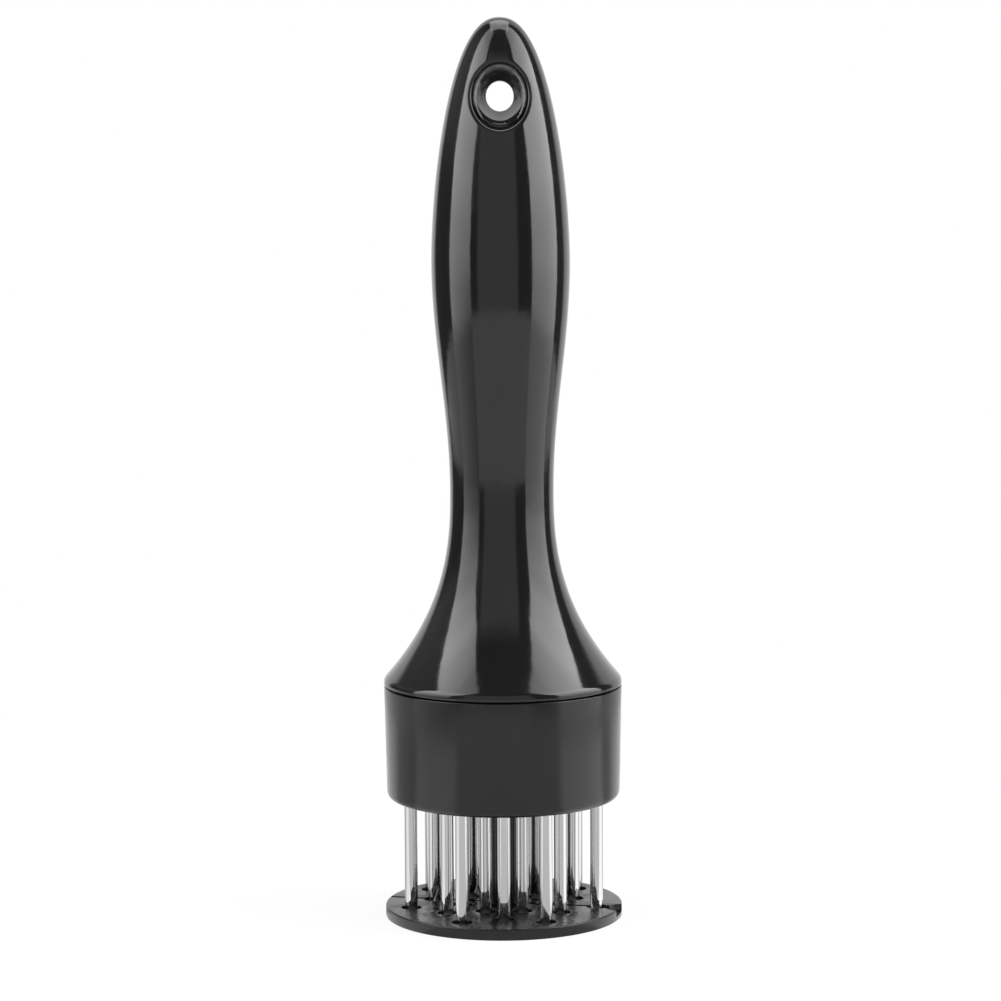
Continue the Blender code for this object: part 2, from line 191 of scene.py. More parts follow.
def window_rings(side):
    """Rings from the edge of the window in the skin to the hole's mouth and into its bore."""
    half_turn = math.tau * window_columns / handle_columns
    middle = 0 if side < 0 else handle_columns // 2
    top, bottom = window_first_row, window_last_row
    edge = [(window_columns, row) for row in range(bottom, top, -1)]
    edge += [(k, top) for k in range(window_columns, -window_columns, -1)]
    edge += [(-window_columns, row) for row in range(top, bottom)]
    edge += [(k, bottom) for k in range(-window_columns, window_columns)]
    loops = [[rings[row][(middle - side * k) % handle_columns] for k, row in edge]]
    spots = []
    for k, row in edge:
        angle = math.tau * k / handle_columns
        height = rings[row][0].co.z
        turned_by = math.atan2((height - hole_height) / window_reach, angle / half_turn)
        lip = (hole_half_width + mouth_side_spread, hole_half_height + mouth_end_spread)
        x, _, z = mouth_point(*lip, turned_by, 0.0, side)
        spots.append((angle, height, math.asin(x / handle_radius(z)), z, turned_by))
    for share in between(0.0, 1.0, 9):
        loop = []
        for angle, height, mouth_angle, mouth_z, _ in spots:
            a = angle + (mouth_angle - angle) * share
            z = height + (mouth_z - height) * share
            r = handle_radius(z)
            loop.append(shell.verts.new((r * math.sin(a), side * r * math.cos(a), z)))
        loops.append(loop)
    for lean in between(0.0, math.pi / 2, 8):
        width = hole_half_width + mouth_side_spread * (1 - math.sin(lean))
        height = hole_half_height + mouth_end_spread * (1 - math.sin(lean))
        depth = mouth_round * (1 - math.cos(lean))
        points = [mouth_point(width, height, spot[4], depth, side) for spot in spots]
        loops.append([shell.verts.new(point) for point in points])
    for first, second in zip(loops, loops[1:]):
        stitch(shell, first, second)
    return loops[-1]


front_mouth = window_rings(-1)
back_mouth = window_rings(1)
bore = [front_mouth]
for share in between(0.0, 1.0, 8)[:-1]:
    bore.append([shell.verts.new(a.co.lerp(b.co, share)) for a, b in zip(front_mouth, back_mouth)])
for first, second in zip(bore, bore[1:] + [back_mouth]):
    stitch(shell, first, second)

lip_top = (shoulder_radius, handle_base + flare_start)
lip_foot = (shoulder_radius, handle_base)
skin_end = (handle_radius(skin_heights[-1]), skin_heights[-1])
inside = rounded(skin_end, lip_top, lip_foot, shoulder_round, 8)
inside += rounded(lip_top, lip_foot, (spigot_radius, handle_base), 0.00015, 3)
inside += [(spigot_radius, handle_base), (spigot_radius, spigot_bottom), (spigot_bore_radius, spigot_bottom)]
for h in between(handle_base, handle_base + waist_height, 12):
    wall = max(spring_bore_radius, handle_radius(h) - 0.0030)
    inside.append((min(spigot_bore_radius, wall), h))
inside += [(spring_bore_radius, spring_bore_top), (relief_radius, spring_bore_top)]
inside += [(relief_radius, relief_top), (0.0, relief_top + relief_radius / 2)]
inside_rings = [rings[-1]] + [ring(shell, r, z, handle_columns) for r, z in inside]
for first, second in zip(inside_rings, inside_rings[1:]):
    stitch(shell, first, second)

# Polished moulded ABS: black all through, IOR 1.54, with a lens-like gloss. The mould's polish leaves
# 30 mm and 5 mm waves that bend the edges of the reflections, and handling dulls it in places.
polished_abs = bpy.data.materials.new("polished_moulded_abs")
polished_abs.use_nodes = True
tree = polished_abs.node_tree
gloss = tree.nodes["Principled BSDF"]
gloss.inputs["Base Color"].default_value = hex_colour("151515")
gloss.inputs["IOR"].default_value = 1.54
where = add_node(tree, "TexCoord").outputs["Object"]
waves = add_node(tree, "TexNoise", {"Vector": where, "Scale": 1 / 0.030, "Detail": 1.0})
smears = add_node(tree, "TexNoise", {"Vector": where, "Scale": 1 / 0.009, "Detail": 4.0})
smear_range = add_node(tree, "MapRange", {
    "Value": smears.outputs["Fac"], "From Min": 0.35, "From Max": 0.7, "To Min": 0.075, "To Max": 0.125})
tree.links.new(smear_range.outputs["Result"], gloss.inputs["Roughness"])
wave_bump = add_node(tree, "Bump", {"Height": waves.outputs["Fac"], "Strength": 1.0, "Distance": 0.00015})
ripples = add_node(tree, "TexNoise", {"Vector": where, "Scale": 1 / 0.005, "Detail": 2.0})
ripple_bump = add_node(tree, "Bump", {
    "Height": ripples.outputs["Fac"], "Strength": 1.0, "Distance": 0.00003, "Normal": wave_bump.outputs["Normal"]})
tree.links.new(ripple_bump.outputs["Normal"], gloss.inputs["Normal"])

handle = piece("handle_moulding", shell, polished_abs)
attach(handle, "handle")
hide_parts("handle_shell")

# Hanging eyelet
# A liner of the same polished ABS, pressed into the hanging hole. The joint round it shows as a fine
# dark ring, and inside it narrows from both sides to the throat that a hook goes through.
eyelet_gap = 0.00014
eyelet_rim = 0.0009
eyelet_depth = mouth_round + 0.0002
rim_edge = 0.00015
throat_half_width = 0.00305
throat_half_height = 0.0033
bowl_turn = (0.0006, 0.0020)
bowl_end = (0.0019, 0.0040)
eyelet_points = 96

shell = bmesh.new()
turns = [math.tau * i / eyelet_points for i in range(eyelet_points)]
half = []
for inward, depth in ((0.0, 0.0012), (0.0, 0.0006), (eyelet_gap, 0.0006), (eyelet_gap, rim_edge),
                      (eyelet_gap + rim_edge, 0.0), (eyelet_gap + eyelet_rim - rim_edge, 0.0)):
    oval = (hole_half_width - inward, hole_half_height - inward)
    half.append([mouth_point(*oval, t, eyelet_depth + depth, 1) for t in turns])
bowl_width = hole_half_width - eyelet_gap - eyelet_rim
bowl_height = hole_half_height - eyelet_gap - eyelet_rim
bowl_reach = handle_radius(hole_height) - eyelet_depth
bowl_outline = rounded((0.0, 0.0), bowl_turn, bowl_end, 0.0009, 8)
bowl_outline += [(bowl_end[0] * 0.97, bowl_end[1] * 0.985), bowl_end, (bowl_end[0], bowl_end[1] + 0.0003)]
for inward, depth in bowl_outline:
    narrowed = inward / bowl_end[0]
    width = bowl_width - (bowl_width - throat_half_width) * narrowed
    height = bowl_height - (bowl_height - throat_half_height) * narrowed
    follow = max(0.0, 1 - depth / bowl_end[1])
    loop = [mouth_point(width, height, t, 0.0, 1) for t in turns]
    half.append([(x, bowl_reach - depth + (y - handle_radius(hole_height)) * follow, z) for x, y, z in loop])
loops = half + [[(x, -y, z) for x, y, z in loop] for loop in reversed(half)]
rows = [[shell.verts.new(point) for point in loop] for loop in loops]
for first, second in zip(rows, rows[1:] + rows[:1]):
    stitch(shell, first, second)

# Moulded ABS: black and glossy on the rim and overhead, with fine rings from the turned mould core.
# Whatever faces up inside the bowl is painted pale grey and made rougher: a painted highlight for the
# light from above, which shows the lower half of the bowl as grey.
painted_top_light_abs = bpy.data.materials.new("moulded_abs_painted_top_light")
painted_top_light_abs.use_nodes = True
tree = painted_top_light_abs.node_tree
liner = tree.nodes["Principled BSDF"]
liner.inputs["IOR"].default_value = 1.54
where = add_node(tree, "TexCoord").outputs["Object"]
stretched = add_node(tree, "Mapping", {"Vector": where, "Scale": (0.35, 1.0, 0.35)})
core_rings = add_node(tree, "TexNoise", {"Vector": stretched.outputs["Vector"], "Scale": 1 / 0.0006, "Detail": 3.0})
# Painted highlight: this mask lightens whatever faces up inside the bowl, where light from above falls.
facing_up = add_node(tree, "SeparateXYZ", {"Vector": add_node(tree, "NewGeometry").outputs["Normal"]}).outputs["Z"]
patchy_top_light = add_node(tree, "Math", {0: core_rings.outputs["Fac"], 1: 0.9, 2: facing_up}, operation="MULTIPLY_ADD")
top_light_spread = add_node(tree, "MapRange", {"Value": patchy_top_light.outputs[0], "From Min": 0.1, "From Max": 1.1})
deep = add_node(tree, "SeparateXYZ", {"Vector": where}).outputs["Y"]
deep = add_node(tree, "Math", {0: deep}, operation="ABSOLUTE")
inside_bowl = add_node(tree, "MapRange", {
    "Value": deep.outputs[0], "From Min": bowl_reach - 0.0006, "From Max": bowl_reach - 0.0012})
painted_top_light = add_node(tree, "Math", {0: top_light_spread.outputs["Result"], 1: inside_bowl.outputs["Result"]}, operation="MULTIPLY")
liner_colour = add_node(tree, "Mix", {
    "Factor": painted_top_light.outputs[0], "A": hex_colour("161616"), "B": hex_colour("7E7E7E")}, data_type="RGBA")
tree.links.new(liner_colour.outputs["Result"], liner.inputs["Base Color"])
liner_range = add_node(tree, "MapRange", {"Value": painted_top_light.outputs[0], "To Min": 0.10, "To Max": 0.5})
tree.links.new(liner_range.outputs["Result"], liner.inputs["Roughness"])
ring_bump = add_node(tree, "Bump", {"Height": core_rings.outputs["Fac"], "Strength": 1.0, "Distance": 0.00006})
tree.links.new(ring_bump.outputs["Normal"], liner.inputs["Normal"])

eyelet = piece("eyelet_liner", shell, painted_top_light_abs, 60)
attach(eyelet, "handle")
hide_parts("hanging_eyelet")

# Return spring
# A compression spring of hard-drawn steel wire, coiled cold and left open at its ends. It stands on the
# head of the guard's stem inside the handle's bore; the real one shortens as the guard is pressed up, but
# this coil keeps one length.
spring_radius = 0.0053
spring_wire_radius = 0.00045
spring_curls = 14
spring_seat = 0.0402
spring_gap = 0.0003
points_per_curl = 28
spring_wire = bpy.data.materials.new("hard_drawn_spring_wire")
spring_wire.use_nodes = True
tree = spring_wire.node_tree
wire = tree.nodes["Principled BSDF"]
wire.inputs["Metallic"].default_value = 1.0
where = add_node(tree, "TexCoord").outputs["Object"]
oxide = add_node(tree, "TexNoise", {"Vector": where, "Scale": 1 / 0.0015, "Detail": 3.0})
wire_colour = add_node(tree, "Mix", {
    "Factor": oxide.outputs["Fac"], "A": hex_colour("A6A39B"), "B": hex_colour("C4C2BC")}, data_type="RGBA")
tree.links.new(wire_colour.outputs["Result"], wire.inputs["Base Color"])
wire.inputs["Roughness"].default_value = 0.32

spring_low = spring_seat + spring_gap + spring_wire_radius
spring_high = spring_bore_top - spring_gap - spring_wire_radius
shell = bmesh.new()
rings = []
for i in range(spring_curls * points_per_curl + 1):
    a = math.tau * i / points_per_curl
    middle = Vector((math.cos(a), math.sin(a), 0.0)) * spring_radius
    middle.z = spring_low + (spring_high - spring_low) * i / (spring_curls * points_per_curl)
    outwards = Vector((math.cos(a), math.sin(a), 0.0)) * spring_wire_radius
    section = [math.tau * k / 8 for k in range(8)]
    spots = [middle + outwards * math.cos(b) + Vector((0.0, 0.0, spring_wire_radius * math.sin(b))) for b in section]
    rings.append([shell.verts.new(spot) for spot in spots])
for first, second in zip(rings, rings[1:]):
    stitch(shell, first, second)
for end in (rings[0], rings[-1]):
    shell.faces.new(end)
spring = piece("coiled_spring", shell, spring_wire)
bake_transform(spring)
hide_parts("return_spring")

# Needle plates
# Two round plates inside the collar: one carries the needles' heads and the other traps them. They
# are plain moulded ABS, seen only from below, so the CAD solids stay with a satin finish.
satin_grain_size = 0.00035

# Satin moulded ABS: the mould was spark-eroded, which leaves a fine even grain of about 0.35 mm and
# a soft sheen instead of sharp reflections.
satin_abs = bpy.data.materials.new("spark_eroded_satin_abs")
satin_abs.use_nodes = True
tree = satin_abs.node_tree
satin = tree.nodes["Principled BSDF"]
satin.inputs["Base Color"].default_value = hex_colour("0F0F0F")
satin.inputs["IOR"].default_value = 1.5
where = add_node(tree, "TexCoord").outputs["Object"]
grain = add_node(tree, "TexNoise", {"Vector": where, "Scale": 1 / satin_grain_size, "Detail": 2.0})
rubbed = add_node(tree, "TexNoise", {"Vector": where, "Scale": 1 / 0.006, "Detail": 3.0})
rubbed_range = add_node(tree, "MapRange", {
    "Value": rubbed.outputs["Fac"], "From Min": 0.3, "From Max": 0.7, "To Min": 0.13, "To Max": 0.19})
tree.links.new(rubbed_range.outputs["Result"], satin.inputs["Roughness"])
grain_bump = add_node(tree, "Bump", {"Height": grain.outputs["Fac"], "Strength": 1.0, "Distance": 0.000004})
sinks = add_node(tree, "TexNoise", {"Vector": where, "Scale": 1 / 0.004, "Detail": 2.0})
sink_bump = add_node(tree, "Bump", {
    "Height": sinks.outputs["Fac"], "Strength": 1.0, "Distance": 0.00002, "Normal": grain_bump.outputs["Normal"]})
tree.links.new(sink_bump.outputs["Normal"], satin.inputs["Normal"])
for plate in ("needle_carrier_plate", "needle_backing_plate"):
    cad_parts[plate].material_slots[0].material = satin_abs

# Guard stem
# The post in the middle of the needles: a satin black ABS moulding whose foot the plate halves grip
# in a groove, and whose head stops on the plate inside the collar.
guard_top = 0.0025
stem_radius = 0.0045
stem_groove_radius = 0.0034
stem_head_low = 0.0372
stem_head_high = 0.0402
stem_outline = [(0.0, 0.0442), (0.0036, 0.0442), (0.0040, 0.0438), (0.0040, stem_head_high)]
stem_outline += [(0.0057, stem_head_high), (0.0060, stem_head_high - 0.0003), (0.0060, stem_head_low)]
stem_outline += [(stem_radius, stem_head_low), (stem_radius, guard_top + 0.0003)]
stem_outline += [(stem_groove_radius, guard_top + 0.0003), (stem_groove_radius, 0.0009)]
stem_outline += [(stem_radius, 0.0009), (stem_radius, 0.0005), (stem_radius - 0.0002, 0.0003), (0.0, 0.0003)]
shell = bmesh.new()
rings = [ring(shell, r, z, 64) for r, z in stem_outline]
for first, second in zip(rings, rings[1:]):
    stitch(shell, first, second)
stem = piece("guard_post", shell, satin_abs)
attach(stem, "guard")
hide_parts("guard_stem")

# Needles
# Twenty-one round rods of drawn stainless steel, on three rings of seven. Each lower end is rounded
# and ground from two sides to a chisel edge; a flat head holds each one in its plate.
needle_radius = 0.00145
needle_tip_low = 0.0005
needle_nose = 0.0042
needle_tip_radius = 0.0006
needle_head_radius = 0.0021
needle_head_low = 0.0325
needle_head_high = 0.0337
chisel_edge = 0.0002
chisel_lean = math.radians(13.5)
outer_ring_radius = 0.0213
needle_rings = [("outer", outer_ring_radius, 90), ("middle", 0.0161, -90), ("inner", 0.0095, 90)]

# How far each needle's ground faces are turned from front and back, in degrees
needle_turns = {
    "outer": (15, 50, 40, 80, -25, -40, -50),
    "middle": (0, -25, -40, 10, -20, 40, 20),
    "inner": (5, 30, 35, 0, 0, -30, -25),
}

# Drawn stainless steel: the die leaves fine lines along the rod, so the surface is bright but blurs
# what it reflects round the rod. Real lines are under 0.05 mm apart; these are 0.12 mm to show.
drawn_steel = bpy.data.materials.new("drawn_stainless_steel")
drawn_steel.use_nodes = True
tree = drawn_steel.node_tree
rod = tree.nodes["Principled BSDF"]
rod.inputs["Metallic"].default_value = 1.0
rod.inputs["Anisotropic"].default_value = 0.4
where = add_node(tree, "TexCoord").outputs["Object"]
along = add_node(tree, "Mapping", {"Vector": where, "Scale": (1.0, 1.0, 0.02)})
lines = add_node(tree, "TexNoise", {"Vector": along.outputs["Vector"], "Scale": 1 / 0.00012, "Detail": 2.0})
steel_tint = add_node(tree, "Mix", {
    "Factor": lines.outputs["Fac"], "A": hex_colour("CACACA"), "B": hex_colour("D6D6D6")}, data_type="RGBA")
tree.links.new(steel_tint.outputs["Result"], rod.inputs["Base Color"])
line_range = add_node(tree, "MapRange", {
    "Value": lines.outputs["Fac"], "From Min": 0.3, "From Max": 0.7, "To Min": 0.05, "To Max": 0.09})
tree.links.new(line_range.outputs["Result"], rod.inputs["Roughness"])
line_bump = add_node(tree, "Bump", {"Height": lines.outputs["Fac"], "Strength": 1.0, "Distance": 0.000001})
tree.links.new(line_bump.outputs["Normal"], rod.inputs["Normal"])
round_the_rod = add_node(tree, "Tangent", direction_type="RADIAL", axis="Z")
tree.links.new(round_the_rod.outputs["Tangent"], rod.inputs["Tangent"])

# Ground stainless steel: the two chisel faces, cut across by a wheel whose grit leaves short lines.
ground_steel = bpy.data.materials.new("ground_stainless_steel")
ground_steel.use_nodes = True
tree = ground_steel.node_tree
face = tree.nodes["Principled BSDF"]
face.inputs["Metallic"].default_value = 1.0
face.inputs["Base Color"].default_value = hex_colour("C6C6C6")
where = add_node(tree, "TexCoord").outputs["Object"]
across = add_node(tree, "Mapping", {"Vector": where, "Scale": (0.08, 0.08, 1.0)})
grit = add_node(tree, "TexNoise", {"Vector": across.outputs["Vector"], "Scale": 1 / 0.00015, "Detail": 2.0})
grit_range = add_node(tree, "MapRange", {
    "Value": grit.outputs["Fac"], "From Min": 0.3, "From Max": 0.7, "To Min": 0.14, "To Max": 0.24})
tree.links.new(grit_range.outputs["Result"], face.inputs["Roughness"])
grit_bump = add_node(tree, "Bump", {"Height": grit.outputs["Fac"], "Strength": 1.0, "Distance": 0.00001})
tree.links.new(grit_bump.outputs["Normal"], face.inputs["Normal"])

needle_outline = [(0.0, needle_tip_low), (needle_tip_radius, needle_tip_low)]
for sweep in between(0.4, math.pi / 2, 16):
    radius = max(needle_tip_radius, needle_radius * math.sin(sweep))
    needle_outline.append((radius, needle_tip_low + needle_nose * (1 - math.cos(sweep))))
needle_outline += [(needle_radius, z) for z in between(needle_tip_low + needle_nose, needle_head_low, 10)]
needle_outline += [(needle_head_radius, needle_head_low), (needle_head_radius, needle_head_high)]
needle_outline += [(0.0, needle_head_high)]

for ring_name, ring_radius, ring_start in needle_rings:
    for i in range(7):
        angle = math.radians(ring_start) + i * math.tau / 7
        shell = bmesh.new()
        rings = [ring(shell, r, z, 40) for r, z in needle_outline]
        for first, second in zip(rings, rings[1:]):
            stitch(shell, first, second)
        ground = []
        for side in (-1, 1):
            cut = bmesh.ops.bisect_plane(
                shell,
                geom=shell.verts[:] + shell.edges[:] + shell.faces[:],
                dist=1e-7,
                plane_co=(side * chisel_edge / 2, 0.0, needle_tip_low),
                plane_no=(side * math.cos(chisel_lean), 0.0, -math.sin(chisel_lean)),
                clear_outer=True,
            )
            rim = [item for item in cut["geom_cut"] if isinstance(item, bmesh.types.BMEdge)]
            for edge in rim:
                edge.smooth = False
            ground += bmesh.ops.contextual_create(shell, geom=rim)["faces"]
        for flat in ground:
            flat.material_index = 1
        turned_by = Matrix.Rotation(math.radians(needle_turns[ring_name][i] - 90), 4, "Z")
        spot = Matrix.Translation((ring_radius * math.cos(angle), ring_radius * math.sin(angle), 0.0))
        bmesh.ops.transform(shell, matrix=spot @ turned_by, verts=shell.verts)
        needle = piece(f"steel_needle_{ring_name}_{i + 1}", shell, drawn_steel, 60)
        needle.data.materials.append(ground_steel)
        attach(needle, "handle")
        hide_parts(f"needle_{ring_name}_{i + 1}")

# Collar
# A sleeve of satin black ABS, screwed on to the handle's spigot up to a fine dark seam. Its ledge
# carries the needle plates. It narrows slightly downwards and ends in a generous rounded edge.
collar_top = 0.0522
collar_bottom = 0.0268
collar_foot_radius = shoulder_radius - 0.0005
collar_bore_radius = 0.0243
collar_ledge_top = 0.0298
collar_lip_radius = 0.0232
collar_edge_round = 0.0020

top_corner = (shoulder_radius, collar_top)
foot_corner = (collar_foot_radius, collar_bottom)
bore_corner = (collar_bore_radius, collar_top)
lip_corner = (collar_lip_radius, collar_bottom)
collar_outline = rounded(bore_corner, top_corner, foot_corner, 0.00018, 4)
collar_outline += rounded(top_corner, foot_corner, lip_corner, collar_edge_round, 12)
collar_outline += rounded(foot_corner, lip_corner, (collar_lip_radius, collar_ledge_top), 0.0003, 3)
collar_outline += [(collar_lip_radius, collar_ledge_top), (collar_bore_radius, collar_ledge_top), bore_corner]
shell = bmesh.new()
rings = [ring(shell, r, z, 160) for r, z in collar_outline]
for first, second in zip(rings, rings[1:] + rings[:1]):
    stitch(shell, first, second)
collar = piece("collar_sleeve", shell, satin_abs)
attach(collar, "handle")
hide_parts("collar")

# Guard plate
# A round plate of satin black ABS with a hole for each needle, in two halves that clip round the
# stem's foot. They meet in a fine slit, which ends at a nail notch in the right-hand rim; under the
# notch the halves touch but for a hairline.
guard_hole_radius = 0.00227
guard_edge_round = 0.0004
hole_edge_round = 0.00018
slit_width = 0.0012
notch_width = 0.0064
notch_reach = 0.0031
notch_depth = 0.0015
neck_width = 0.0030
hairline = 0.00025
clip_bottom = 0.0012
clip_radius = 0.0037
foot_hole_radius = 0.0048
slit_angle = math.radians(90 + 5 * 360 / 7)
beyond = 0.002

# Satin moulded ABS, washed often: the same grain as the collar's, but rubbed duller and patchier by
# meat and brush, so the needles mirror in it only as vague streaks.
washed_abs = bpy.data.materials.new("washed_satin_abs")
washed_abs.use_nodes = True
tree = washed_abs.node_tree
satin = tree.nodes["Principled BSDF"]
satin.inputs["Base Color"].default_value = hex_colour("0F0F0F")
satin.inputs["IOR"].default_value = 1.5
where = add_node(tree, "TexCoord").outputs["Object"]
brushed = add_node(tree, "TexNoise", {"Vector": where, "Scale": 1 / 0.005, "Detail": 4.0})
brushed_range = add_node(tree, "MapRange", {
    "Value": brushed.outputs["Fac"], "From Min": 0.3, "From Max": 0.7, "To Min": 0.22, "To Max": 0.36})
tree.links.new(brushed_range.outputs["Result"], satin.inputs["Roughness"])
grain = add_node(tree, "TexNoise", {"Vector": where, "Scale": 1 / satin_grain_size, "Detail": 2.0})
grain_bump = add_node(tree, "Bump", {"Height": grain.outputs["Fac"], "Strength": 1.0, "Distance": 0.000012})
tree.links.new(grain_bump.outputs["Normal"], satin.inputs["Normal"])

rim_top = (shoulder_radius, guard_top)
rim_foot = (shoulder_radius, 0.0)
plate_outline = rounded((clip_radius, guard_top), rim_top, rim_foot, guard_edge_round, 6)
plate_outline += rounded(rim_top, rim_foot, (foot_hole_radius, 0.0), guard_edge_round / 2, 3)
plate_outline += [(foot_hole_radius, 0.0), (foot_hole_radius, clip_bottom)]
plate_outline += [(clip_radius, clip_bottom), (clip_radius, guard_top)]


def cutter(name, shell):
    """An object that only cuts others and is removed after its cuts are made."""
    made = piece(name, shell, washed_abs)
    made.hide_render = True
    return made


def flared_pin(shell, radius, spot, around, floor=None, squeeze=None):
    """A pin that spreads where it leaves the plate, so that its hole or pocket has rounded edges."""
    edge = hole_edge_round
    flare = [(radius + edge * (1 - math.sin(a)), edge * (1 - math.cos(a))) for a in between(0, math.pi / 2, 3)]
    top = [(r, guard_top - z) for r, z in reversed(flare)]
    top += [(radius + edge, guard_top), (radius + edge, guard_top + beyond), (0.0, guard_top + beyond)]
    if floor is None:
        outline = [(r, guard_top - z) for r, z in reversed(top)] + top
    else:
        outline = [(0.0, floor), (radius - edge, floor), (radius - edge / 3, floor + edge / 3)] + top
    rings = [ring(shell, r, z, around) for r, z in outline]
    for first, second in zip(rings, rings[1:]):
        stitch(shell, first, second)
    points = [point for row in rings for point in row]
    bmesh.ops.transform(shell, matrix=Matrix.Translation(spot) @ (squeeze or Matrix()), verts=points)


def block(low, high):
    """A box between two corners, turned to lie along the slit."""
    low, high = Vector(low), Vector(high)
    shell = bmesh.new()
    size = Matrix.Diagonal((*(high - low), 1.0))
    turned = Matrix.Rotation(slit_angle, 4, "Z") @ Matrix.Translation((low + high) / 2)
    bmesh.ops.create_cube(shell, size=1.0, matrix=turned @ size)
    return shell


shell = bmesh.new()
for _, ring_radius, ring_start in needle_rings:
    for i in range(7):
        angle = math.radians(ring_start) + i * math.tau / 7
        flared_pin(shell, guard_hole_radius, (ring_radius * math.cos(angle), ring_radius * math.sin(angle), 0.0), 32)
holes = cutter("hole_cutter", shell)
shell = bmesh.new()
squeeze = Matrix.Rotation(slit_angle, 4, "Z") @ Matrix.Diagonal((2 * notch_reach / notch_width, 1.0, 1.0, 1.0))
notch_spot = (shoulder_radius * math.cos(slit_angle), shoulder_radius * math.sin(slit_angle), 0.0)
flared_pin(shell, notch_width / 2, notch_spot, 48, guard_top - notch_depth, squeeze)
notch = cutter("notch_cutter", shell)
low, high = -beyond, guard_top + beyond
reach = shoulder_radius + beyond
neck_end = shoulder_radius - notch_reach / 2
neck = cutter("neck_cutter", block((outer_ring_radius, -neck_width / 2, low), (neck_end, neck_width / 2, high)))
other_side = {}
for half_name, side in (("guard_plate_front", 1), ("guard_plate_rear", -1)):
    inner, outer = -side * slit_width / 2, -side * hairline / 2
    outline = [(-reach, inner), (neck_end, inner), (neck_end, outer), (reach, outer), (reach, side * reach)]
    outline.append((-reach, side * reach))
    shell = bmesh.new()
    foot, head = ([shell.verts.new((x, y, z)) for x, y in outline] for z in (low, high))
    stitch(shell, foot, head)
    for end in (foot, head):
        shell.faces.new(end)
    bmesh.ops.transform(shell, matrix=Matrix.Rotation(slit_angle, 4, "Z"), verts=shell.verts)
    bmesh.ops.triangulate(shell, faces=shell.faces[:])
    other_side[half_name] = shell
for half_name, far_block in other_side.items():
    shell = bmesh.new()
    rings = [ring(shell, r, z, 160) for r, z in plate_outline]
    for first, second in zip(rings, rings[1:] + rings[:1]):
        stitch(shell, first, second)
    plate = piece(half_name.replace("guard_plate", "guard_disc"), shell, washed_abs)
    far_side = cutter("far_side_cutter", far_block)
    for tool in (holes, notch, neck, far_side):
        cut = plate.modifiers.new(tool.name, "BOOLEAN")
        cut.operation = "DIFFERENCE"
        cut.solver = "EXACT"
        cut.object = tool
    bpy.context.view_layer.update()
    shape = plate.evaluated_get(bpy.context.evaluated_depsgraph_get())
    made = bpy.data.meshes.new_from_object(shape)
    plate.modifiers.clear()
    plate.data = made
    made.set_sharp_from_angle(angle=math.radians(35))
    bpy.data.objects.remove(far_side, do_unlink=True)
    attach(plate, "guard")
    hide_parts(half_name)
for tool in (holes, notch, neck):
    bpy.data.objects.remove(tool, do_unlink=True)

# Floor
# A round sheet of matt white paper under the tool. It reads as plain white, as the photograph's
# ground does, keeps a soft shadow round the plate, and shows as a paler grey in the tool's gloss.
floor_radius = 0.70
shell = bmesh.new()
rings = [ring(shell, r, 0.0, 96) for r in (0.0, 0.1, 0.25, floor_radius)]
for first, second in zip(rings, rings[1:]):
    stitch(shell, first, second)
paper = bpy.data.materials.new("matt_white_paper")
paper.use_nodes = True
tree = paper.node_tree
tree.nodes.clear()
rays = add_node(tree, "LightPath")
spot = add_node(tree, "TexCoord").outputs["Object"]
away = add_node(tree, "VectorMath", {0: spot}, operation="LENGTH")
across = add_node(tree, "SeparateXYZ", {"Vector": spot})
forward = add_node(tree, "Math", {0: across.outputs["Y"], 1: -1.0}, operation="MULTIPLY")
side = add_node(tree, "Math", {0: across.outputs["X"], 1: forward.outputs[0]}, operation="ARCTAN2")
# Painted light: the floor's glow in the tool's gloss is brighter and darker in pools by direction round the tool,
# painted where the soft boxes' light would fall on the paper.
painted_light_pools = None
for start, end, step in ((-0.73, -0.79, 0.48), (-1.12, -1.25, -0.08), (-1.50, -1.60, -0.55), (-2.05, -2.20, 0.40),
                         (0.90, 0.98, 0.75), (1.80, 1.92, -0.90), (2.10, 2.25, 0.40)):
    painted_pool = add_node(tree, "MapRange", {
        "Value": side.outputs[0], "From Min": start, "From Max": end, "To Min": 0.0, "To Max": step})
    if painted_light_pools is None:
        painted_light_pools = painted_pool.outputs["Result"]
        continue
    painted_light_pools = add_node(tree, "Math", {0: painted_light_pools, 1: painted_pool.outputs["Result"]}).outputs[0]
# Painted shade: the glow the tool mirrors is dimmer close to the tool and brightens out to 0.40 m.
painted_shade_nearby = add_node(tree, "MapRange", {
    "Value": away.outputs["Value"], "From Min": 0.05, "From Max": 0.40, "To Min": 0.72, "To Max": 0.84})
painted_pool_reach = add_node(tree, "MapRange", {
    "Value": away.outputs["Value"], "From Min": 0.29, "From Max": 0.33, "To Min": 1.0, "To Max": 0.0})
mirrored = add_node(tree, "Math", {
    0: painted_light_pools, 1: painted_pool_reach.outputs["Result"], 2: painted_shade_nearby.outputs["Result"]}, operation="MULTIPLY_ADD")
white = add_node(tree, "MapRange", {
    "Value": away.outputs["Value"], "From Min": 0.06, "From Max": 0.30, "To Min": 0.88, "To Max": 1.0})
glossy = add_node(tree, "Math", {
    0: rays.outputs["Is Glossy Ray"], 1: rays.outputs["Is Transmission Ray"]}, operation="MAXIMUM")
share = add_node(tree, "Math", {0: rays.outputs["Is Camera Ray"], 1: white.outputs["Result"]}, operation="MULTIPLY")
share = add_node(tree, "Math", {0: share.outputs[0], 1: glossy.outputs[0]}, operation="MAXIMUM")
matt = add_node(tree, "BsdfDiffuse", {"Color": hex_colour("F2F2F2")})
white_glow = add_node(tree, "Emission", {"Color": (1.0, 1.0, 1.0, 1.0), "Strength": 1.0})
painted_reflection_glow = add_node(tree, "Emission", {"Color": (1.0, 1.0, 1.0, 1.0), "Strength": mirrored.outputs[0]})
